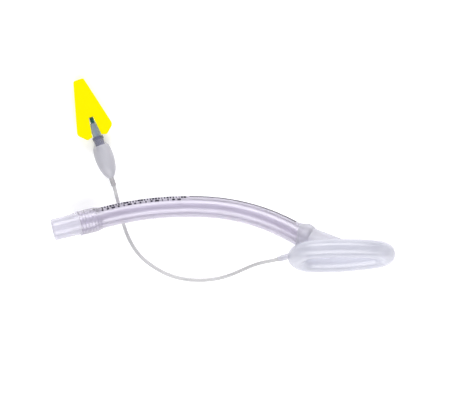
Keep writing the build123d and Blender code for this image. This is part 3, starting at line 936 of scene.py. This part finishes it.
@dataclass
class ValveSpring:
    """The wire spring on the valve body's floor, in millimetres; the real one shortens as the plunger goes
    in.
    """

    floor: float = 21.5
    clearance: float = 0.05
    length: float = 4.15
    wire: float = 0.3
    mean_diameter: float = 3.5
    turns: float = 4.5
    steps_a_turn: int = 48
    around: int = 16
    travel: float = 1.8

    def growth(self) -> Growth:
        """Lays out the nodes that wind a wire, which take nothing from their path.

        Returns:
            The growth.
        """
        numbers = ("Turns", "Radius", "Height", "Wire Radius")
        growth = Growth("wire_in_turns", numbers, counts=("Steps", "Around"))
        add, given = growth.add, growth.given
        coil = add(
            "GeometryNodeCurveSpiral",
            {"Resolution": given["Steps"], "Rotations": given["Turns"], "Start Radius": given["Radius"],
             "End Radius": given["Radius"], "Height": given["Height"]},
        )[0]
        round_wire = {"Resolution": given["Around"], "Radius": given["Wire Radius"]}
        section = add("GeometryNodeCurvePrimitiveCircle", round_wire)[0]
        swept = {"Curve": coil, "Profile Curve": section, "Fill Caps": True}
        growth.end(add("GeometryNodeCurveToMesh", swept)[0])
        return growth

    def build(self) -> Object:
        """Builds the spring in the CAD spring's place.

        Returns:
            The spring.
        """
        start = in_scene("valve_spring_start", bpy.data.meshes.new("valve_spring_start"))
        values = {
            "Turns": self.turns,
            "Radius": self.mean_diameter / 2 * MM,
            "Height": (self.length - self.wire) * MM,
            "Wire Radius": self.wire / 2 * MM,
            "Steps": self.steps_a_turn,
            "Around": self.around,
            "Material": SPRING_STEEL.material(),
        }
        mesh = self.growth().grow(start, values)
        low = (self.floor + self.clearance + self.wire / 2) * MM
        mesh.transform(PILOT_PLACE @ Matrix.Translation((low, 0, 0)) @ Matrix.Rotation(radians(90), 4, "Y"))
        piece = as_piece("valve_spring_coil", mesh, SPRING_STEEL)
        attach(piece, BODY)
        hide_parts("valve_spring")
        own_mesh(piece)
        return piece


@dataclass(frozen=True)
class Printing:
    """Something printed along the tube, in millimetres.

    Attributes:
        name: Its name.
        turn: How far round the tube it lies from the outer side of the curve, in degrees.
        start: Where it starts along the tube from the mask.
        run: How long it is.
    """

    name: str
    turn: float
    start: float
    run: float


@dataclass(frozen=True)
class MarkRow(Printing):
    """One row of marks.

    Attributes:
        spacing: From mark to mark.
        tick: A narrow mark's length along the tube and width round it.
        bar: A wide mark's length and width.
        every: After how many marks their pattern comes again.
        uneven: The least and the greatest stretch of a mark.
    """

    spacing: float
    tick: tuple[float, float]
    bar: tuple[float, float]
    every: int
    uneven: tuple[float, float] = (0.5, 1.15)


@dataclass(frozen=True)
class GuideLine(Printing):
    """The plain line.

    Attributes:
        width: How wide it is.
        steps: How many points it has along the tube.
    """

    width: float
    steps: int


@dataclass
class PrintedMarks:
    """Plain printed ticks and bars and a guide line, along the outer side of the tube's curve.

    Attributes:
        tube_radius: The tube's outer radius, in metres.
        lift: How far the ink's middle lies above it, in metres.
        film: How thick the ink is, in metres.
        seed: The seed of the marks' uneven lengths.
        bars: How many marks at the start of each pattern are bars.
        mark_points: How many points a mark has round the tube.
        line_points: How many points the guide line has round the tube.
        line: The guide line.
        rows: The rows of marks.
        course: The tube's runs from the mask, each with its length in millimetres and its turn in degrees.
        mouth: Where the first run starts in the mask's frame, in millimetres.
        mouth_angle: How steeply the tube leaves the mask, in degrees.
        step: The distance from point to point of the paths, in millimetres.
    """

    tube_radius: float = 7.5 * MM
    lift: float = 0.03 * MM
    film: float = 0.02 * MM
    seed: int = 7
    bars: int = 2
    mark_points: int = 7
    line_points: int = 5
    line: GuideLine = GuideLine("guide_line", 38.0, 1.0, 77.0, 1.7, 90)
    rows: tuple[MarkRow, ...] = (
        MarkRow("marks_at_edge", 46.0, 80.0, 66.0, 2.0, (0.9, 3.0), (1.7, 3.0), 5, (0.7, 1.2)),
        MarkRow("marks_at_side", 68.0, 84.0, 60.0, 3.8, (1.3, 1.7), (2.6, 1.7), 4),
    )
    course: tuple[tuple[float, float], ...] = ((64.78, 27.7), (72.46, 18.7), (19.5, 0.0))
    mouth: tuple[float, float] = (-32.7, 18.6)
    mouth_angle: float = 33.0
    step: float = 1.0

    def path(self, row: Printing) -> Object:
        """Builds the stretch of the tube's axis that a row or the line follows, from the mask's side.

        Args:
            row: The row or the line.

        Returns:
            The axis as a curve, in place.
        """
        points, travelled = [], 0.0
        place, heading = Vector(self.mouth), radians(180 - self.mouth_angle)
        for length, angle in self.course:
            count = round(length / self.step)
            for i in range(count):
                if row.start <= travelled <= row.start + row.run:
                    points.append(MASK_PLACE @ (Vector((*place, 0)) * MM))
                turn = radians(angle) / count
                place = place + length / count * Vector((cos(heading + turn / 2), sin(heading + turn / 2)))
                heading += turn
                travelled += length / count
        return poly_path(row.name + "_path", points)

    def patch(self, growth: Growth, kind: str) -> NodeSocket:
        """Adds the nodes of one mark, a thin closed film bent round the tube.

        Args:
            growth: The growth that gets them.
            kind: Whether the mark is a Tick or a Bar.

        Returns:
            The mark's geometry.
        """
        add, given = growth.add, growth.given
        sides = {0: given[kind + " Length"], 1: given[kind + " Width"], 2: given["Film"]}
        size = add("ShaderNodeCombineXYZ", sides)[0]
        points = {"Size": size, "Vertices X": 2, "Vertices Y": self.mark_points, "Vertices Z": 2}
        block = add("GeometryNodeMeshCube", points)[0]
        place = add("GeometryNodeInputPosition")[0]
        split = add("ShaderNodeSeparateXYZ", {0: place})
        turn = add(MATH, {0: split[1], 1: given["Radius"]}, operation="DIVIDE")[0]
        reach = add(MATH, {0: split[2], 1: given["Radius"]}, operation="ADD")[0]
        across = add(MATH, {0: turn}, operation="SINE")[0]
        up = add(MATH, {0: turn}, operation="COSINE")[0]
        y = add(MATH, {0: across, 1: reach}, operation="MULTIPLY")[0]
        z = add(MATH, {0: up, 1: reach}, operation="MULTIPLY")[0]
        bent = add("ShaderNodeCombineXYZ", {0: split[0], 1: y, 2: z})[0]
        return add("GeometryNodeSetPosition", {"Geometry": block, "Position": bent})[0]

    def growth(self) -> Growth:
        """Lays out the nodes that set marks along a path.

        Returns:
            The growth.
        """
        growth = Growth(
            "marks_along_tube",
            ("Spacing", "Radius", "Film", "Turn", "Tick Length", "Tick Width", "Bar Length", "Bar Width",
             "Least", "Greatest"),
            ("Side",),
            ("Every", "Seed"),
        )
        add, given = growth.add, growth.given
        spaced = {"Curve": given["Path"], "Length": given["Spacing"]}
        points = add("GeometryNodeCurveToPoints", spaced, mode="LENGTH")
        tangent = points["Tangent"]
        dorsal = add(VECTOR_MATH, {0: tangent, 1: given["Side"]}, operation="CROSS_PRODUCT")[0]
        spin = {"Vector": dorsal, "Axis": tangent, "Angle": given["Turn"]}
        radial = add("ShaderNodeVectorRotate", spin, rotation_type="AXIS_ANGLE")[0]
        align = "FunctionNodeAlignRotationToVector"
        lengthwise = add(align, {"Vector": tangent}, axis="X")[0]
        facing = add(align, {"Rotation": lengthwise, "Vector": radial}, axis="Z", pivot_axis="X")[0]
        index = add("GeometryNodeInputIndex")[0]
        step = add("FunctionNodeIntegerMath", {0: index, 1: given["Every"]}, operation="MODULO")[0]
        early = {2: step, 3: self.bars}
        is_bar = add("FunctionNodeCompare", early, data_type="INT", operation="LESS_THAN")[0]
        is_tick = add("FunctionNodeBooleanMath", {0: is_bar}, operation="NOT")[0]
        span = {2: given["Least"], 3: given["Greatest"], "Seed": given["Seed"]}
        lengths = add("FunctionNodeRandomValue", span, data_type="FLOAT")[1]
        stretch = add("ShaderNodeCombineXYZ", {0: lengths, 1: 1.0, 2: 1.0})[0]
        laid = []
        for kind, chosen in (("Bar", is_bar), ("Tick", is_tick)):
            mark = {
                "Points": points["Points"], "Selection": chosen, "Instance": self.patch(growth, kind),
                "Rotation": facing, "Scale": stretch,
            }
            laid.append(add("GeometryNodeInstanceOnPoints", mark)[0])
        growth.end(add("GeometryNodeJoinGeometry", {0: laid})[0])
        return growth

    def line_growth(self) -> Growth:
        """Lays out the nodes that print one long line along a path.

        Returns:
            The growth.
        """
        growth = Growth("film_along_tube", ("Run", "Width", "Film", "Radius", "Turn"), ("Side",), ("Steps",))
        add, given = growth.add, growth.given
        size = add("ShaderNodeCombineXYZ", {0: given["Run"], 1: given["Width"], 2: given["Film"]})[0]
        points = {"Size": size, "Vertices X": given["Steps"], "Vertices Y": self.line_points, "Vertices Z": 2}
        block = add("GeometryNodeMeshCube", points)[0]
        place = add("GeometryNodeInputPosition")[0]
        split = add("ShaderNodeSeparateXYZ", {0: place})
        station = add(MATH, {0: given["Run"], 1: 0.5, 2: split[0]}, operation="MULTIPLY_ADD")[0]
        axis = add("GeometryNodeSampleCurve", {"Curves": given["Path"], "Length": station}, mode="LENGTH")
        tangent = axis["Tangent"]
        dorsal = add(VECTOR_MATH, {0: tangent, 1: given["Side"]}, operation="CROSS_PRODUCT")[0]
        spread = add(MATH, {0: split[1], 1: given["Radius"]}, operation="DIVIDE")[0]
        angle = add(MATH, {0: spread, 1: given["Turn"]}, operation="ADD")[0]
        spin = {"Vector": dorsal, "Axis": tangent, "Angle": angle}
        radial = add("ShaderNodeVectorRotate", spin, rotation_type="AXIS_ANGLE")[0]
        reach = add(MATH, {0: split[2], 1: given["Radius"]}, operation="ADD")[0]
        arm = add(VECTOR_MATH, {0: radial, "Scale": reach}, operation="SCALE")[0]
        lying = add(VECTOR_MATH, {0: axis["Position"], 1: arm}, operation="ADD")[0]
        growth.end(add("GeometryNodeSetPosition", {"Geometry": block, "Position": lying})[0])
        return growth

    def values(self, row: Printing) -> dict[str, object]:
        """The inputs that both growths have, by name."""
        return {
            "Radius": self.tube_radius + self.lift,
            "Film": self.film,
            "Turn": radians(-row.turn),
            "Side": MASK_PLACE.to_3x3() @ Vector((0, 0, 1)),
            "Material": BLACK_INK.material(),
        }

    def build(self) -> list[Object]:
        """Builds the rows of marks and the guide line.

        Returns:
            The rows and the line.
        """
        growth = self.growth()
        meshes = {}
        for row in self.rows:
            values = {
                **self.values(row),
                "Spacing": row.spacing * MM,
                "Tick Length": row.tick[0] * MM,
                "Tick Width": row.tick[1] * MM,
                "Bar Length": row.bar[0] * MM,
                "Bar Width": row.bar[1] * MM,
                "Least": row.uneven[0],
                "Greatest": row.uneven[1],
                "Every": row.every,
                "Seed": self.seed,
            }
            meshes[row.name] = growth.grow(self.path(row), values)
        line = self.line
        values = {**self.values(line), "Run": line.run * MM, "Width": line.width * MM, "Steps": line.steps}
        meshes[line.name] = self.line_growth().grow(self.path(line), values)
        pieces = [as_piece(name, mesh, BLACK_INK) for name, mesh in meshes.items()]
        for piece in pieces:
            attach(piece, BODY)
        return pieces


def main() -> None:
    """Builds the scene in order and reports each piece."""
    logging.basicConfig(level=logging.INFO, format="%(message)s")
    Stage().build()
    line = InflationLine()
    soft_line = line.build()
    cuff = Cuff().build()
    balloon = PilotBalloon().build()
    spring = ValveSpring().build()
    marks = PrintedMarks().build()
    for piece in (soft_line, cuff, balloon, spring, *marks):
        LOG.info("%s: built", piece.name)
    for name, finish in FINISHES.items():
        dress(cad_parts[name], finish)


if __name__ == "__main__":
    main()
